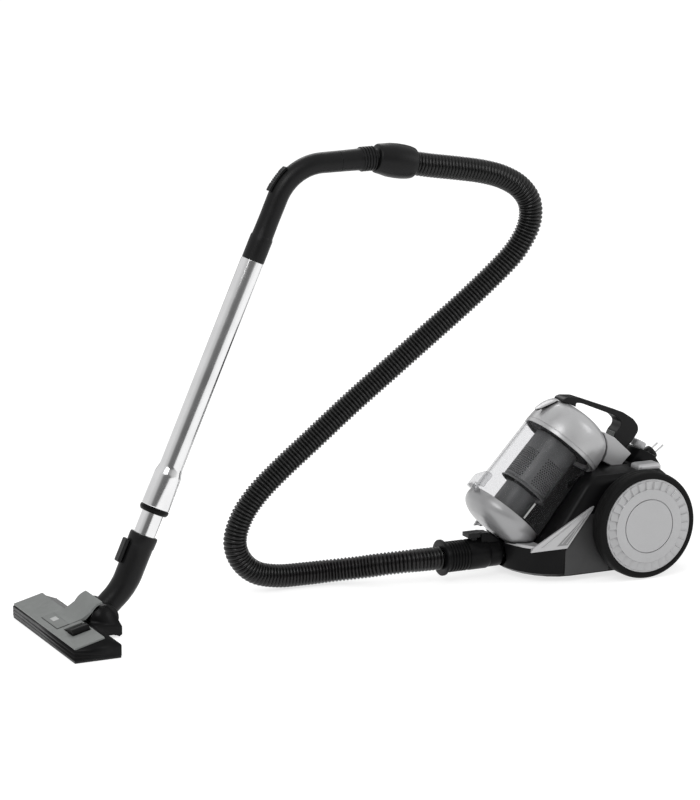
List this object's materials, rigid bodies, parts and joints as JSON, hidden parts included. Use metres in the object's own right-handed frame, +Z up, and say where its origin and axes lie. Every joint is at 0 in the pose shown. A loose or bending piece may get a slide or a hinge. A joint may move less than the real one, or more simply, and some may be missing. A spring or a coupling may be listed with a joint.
{
  "type": "canister vacuum cleaner",
  "caption": "Bagless canister vacuum cleaner with a tilted clear dust cup, large side wheels, corrugated hose, chrome telescopic wand and floor nozzle.",
  "frame": {"origin": "on the floor, at the middle of the cleaner's footprint without its hose", "axes": "+Z up, +X from the nozzle to the rear of the canister, +Y to the canister's right-hand side"},
  "size_m": [1.11, 0.3245, 0.723],
  "materials": {
    "black_plastic": "satin moulded black plastic with a fine grain",
    "hose_plastic": "glossy black corrugated hose",
    "silver_plastic": "silver painted plastic, satin",
    "grey_plastic": "satin mid-grey plastic",
    "clear_plastic": "clear polished plastic, slightly smoked",
    "chrome_tube": "polished chromed tube",
    "steel": "plain machined steel",
    "tyre_rubber": "matt black rubber",
    "cord_rubber": "smooth black cord sheath",
    "filter_foam": "open-cell foam",
    "filter_paper": "pleated filter paper",
    "bristle": "short dense black bristles"
  },
  "bodies": {
    "canister": {"base_shell": "black_plastic", "upper_housing": "black_plastic", "cup_seat": "black_plastic", "side_trim_left": "silver_plastic", "side_trim_right": "silver_plastic", "rear_deck": "black_plastic", "inlet_port": "black_plastic", "inlet_duct": "black_plastic", "motor_housing": "steel", "mains_plug": "black_plastic", "hepa_filter": "filter_paper", "axle_left": "steel", "axle_right": "steel", "caster_cup": "black_plastic", "hose_connector": "black_plastic", "hose": "hose_plastic", "handle_pipe": "black_plastic", "outer_tube": "chrome_tube"},
    "wheel_left": {"tyre_left": "tyre_rubber", "wheel_rim_left": "black_plastic", "hub_cover_left": "silver_plastic"},
    "wheel_right": {"tyre_right": "tyre_rubber", "wheel_rim_right": "black_plastic", "hub_cover_right": "silver_plastic"},
    "caster_swivel": {"caster_fork": "black_plastic"},
    "caster_roller": {"caster_wheel": "tyre_rubber"},
    "dust_cup": {"cup_wall": "clear_plastic", "cup_lid": "silver_plastic", "pre_motor_filter": "filter_foam", "cyclone_grille": "grey_plastic", "cyclone_cone": "grey_plastic", "hinge_bracket": "clear_plastic", "hinge_pin": "steel", "carry_handle": "black_plastic"},
    "dust_flap": {"bottom_cover": "silver_plastic"},
    "cup_release": {"release_tongue": "silver_plastic"},
    "power_pedal": {"power_pedal": "silver_plastic"},
    "rewind_pedal": {"rewind_pedal": "silver_plastic"},
    "suction_knob": {"suction_knob": "silver_plastic"},
    "exhaust_door": {"exhaust_grille": "black_plastic"},
    "motor_rotor": {"motor_fan": "steel"},
    "cord_reel": {"cord_reel": "grey_plastic", "cord_winding": "cord_rubber"},
    "connector_latch": {"connector_latch": "black_plastic"},
    "hose_cuff": {"hose_cuff": "black_plastic"},
    "handle_cuff": {"handle_cuff": "black_plastic"},
    "air_slider": {"air_slider": "black_plastic"},
    "tube_lock": {"tube_lock": "black_plastic"},
    "lower_wand": {"inner_tube": "chrome_tube"},
    "nozzle_neck": {"nozzle_neck": "black_plastic", "parking_clip": "black_plastic"},
    "floor_nozzle": {"nozzle_body": "black_plastic", "nozzle_plate": "grey_plastic", "nozzle_sole": "grey_plastic"},
    "brush_pedal": {"brush_pedal": "black_plastic"},
    "brush_strips": {"brush_strip_front": "bristle", "brush_strip_rear": "bristle"},
    "roller_left": {"nozzle_roller_left": "tyre_rubber"},
    "roller_right": {"nozzle_roller_right": "tyre_rubber"}
  },
  "joints": [
    {"name": "wheel_left_spin", "type": "hinge", "parent": "canister", "child": "wheel_left", "pos_m": [0.45, -0.0975, 0.0885], "axis": [0, 1, 0], "continuous": true},
    {"name": "wheel_right_spin", "type": "hinge", "parent": "canister", "child": "wheel_right", "pos_m": [0.45, 0.1425, 0.0885], "axis": [0, 1, 0], "continuous": true},
    {"name": "caster_turn", "type": "hinge", "parent": "canister", "child": "caster_swivel", "pos_m": [0.332, 0.0225, 0.03], "axis": [0, 0, 1], "continuous": true},
    {"name": "caster_wheel_spin", "type": "hinge", "parent": "caster_swivel", "child": "caster_roller", "pos_m": [0.339, 0.0225, 0.0115], "axis": [0, 1, 0], "continuous": true},
    {"name": "dust_cup_lift", "type": "slide", "parent": "canister", "child": "dust_cup", "axis": [0.682, 0, 0.7314], "range_m": [0, 0.2]},
    {"name": "dust_flap_open", "type": "hinge", "parent": "dust_cup", "child": "dust_flap", "pos_m": [0.20051, 0.0225, 0.15163], "axis": [0, 1, 0], "range_deg": [0, 80.5]},
    {"name": "cup_release_press", "type": "hinge", "parent": "dust_cup", "child": "cup_release", "pos_m": [0.35212, 0.0225, 0.27961], "axis": [0, 1, 0], "range_deg": [0, 14], "stiffness_Nm_per_rad": 0.2, "springref_deg": -5.73},
    {"name": "power_pedal_press", "type": "slide", "parent": "canister", "child": "power_pedal", "axis": [0, 0, -1], "range_m": [0, 0.004], "stiffness_N_per_m": 500, "springref_m": -0.003},
    {"name": "rewind_pedal_press", "type": "slide", "parent": "canister", "child": "rewind_pedal", "axis": [0, 0, -1], "range_m": [0, 0.004], "stiffness_N_per_m": 500, "springref_m": -0.003},
    {"name": "suction_knob_turn", "type": "hinge", "parent": "canister", "child": "suction_knob", "pos_m": [0.5075, 0.0225, 0.1852], "axis": [0.4899, 0, 0.8718], "range_deg": [-135, 135]},
    {"name": "exhaust_door_swing", "type": "hinge", "parent": "canister", "child": "exhaust_door", "pos_m": [0.5532, 0.0225, 0.06], "axis": [0, 1, 0], "range_deg": [0, 100]},
    {"name": "motor_spin", "type": "hinge", "parent": "canister", "child": "motor_rotor", "pos_m": [0.478, 0.0225, 0.088], "axis": [0, 1, 0], "continuous": true},
    {"name": "cord_reel_spin", "type": "hinge", "parent": "canister", "child": "cord_reel", "pos_m": [0.472, 0.0225, 0.085], "axis": [0, 1, 0], "continuous": true},
    {"name": "connector_latch_press", "type": "slide", "parent": "canister", "child": "connector_latch", "axis": [0, 0, -1], "range_m": [0, 0.003], "stiffness_N_per_m": 600, "springref_m": -0.002},
    {"name": "hose_cuff_turn", "type": "hinge", "parent": "canister", "child": "hose_cuff", "pos_m": [0.142, 0.0225, 0.0375], "axis": [1, 0, 0], "continuous": true},
    {"name": "handle_cuff_turn", "type": "hinge", "parent": "canister", "child": "handle_cuff", "pos_m": [0.0017, -0.0245, 0.70079], "axis": [0.9851, 0, -0.172], "continuous": true},
    {"name": "air_slider_shift", "type": "hinge", "parent": "canister", "child": "air_slider", "pos_m": [-0.08664, -0.0245, 0.61367], "axis": [0, 1, 0], "range_deg": [0, 8]},
    {"name": "tube_lock_pull", "type": "slide", "parent": "canister", "child": "tube_lock", "axis": [-0.4083, 0, -0.9128], "range_m": [0, 0.005], "stiffness_N_per_m": 500, "springref_m": -0.003},
    {"name": "wand_telescope", "type": "slide", "parent": "canister", "child": "lower_wand", "axis": [-0.4083, 0, -0.9128], "range_m": [0, 0.24]},
    {"name": "neck_swivel", "type": "hinge", "parent": "lower_wand", "child": "nozzle_neck", "pos_m": [-0.38893, -0.0245, 0.14605], "axis": [-0.4083, 0, -0.9128], "range_deg": [-90, 90]},
    {"name": "nozzle_pitch", "type": "hinge", "parent": "nozzle_neck", "child": "floor_nozzle", "pos_m": [-0.465, -0.0245, 0.03], "axis": [0, 1, 0], "range_deg": [-25, 15]},
    {"name": "brush_pedal_rock", "type": "hinge", "parent": "floor_nozzle", "child": "brush_pedal", "pos_m": [-0.5237, -0.0905, 0.029], "axis": [0.9703, 0, 0.2419], "range_deg": [0, 10.5]},
    {"name": "brush_strips_lower", "type": "slide", "parent": "floor_nozzle", "child": "brush_strips", "axis": [0, 0, -1], "range_m": [0, 0.004]},
    {"name": "roller_left_spin", "type": "hinge", "parent": "floor_nozzle", "child": "roller_left", "pos_m": [-0.446, -0.0245, 0.007], "axis": [0, 1, 0], "continuous": true},
    {"name": "roller_right_spin", "type": "hinge", "parent": "floor_nozzle", "child": "roller_right", "pos_m": [-0.446, -0.0245, 0.007], "axis": [0, 1, 0], "continuous": true}
  ],
  "couplings": [
    {"joint": "dust_flap_open", "follows": "dust_cup_lift", "rad_per_m": 7},
    {"joint": "brush_pedal_rock", "follows": "brush_strips_lower", "rad_per_m": 45.8}
  ]
}
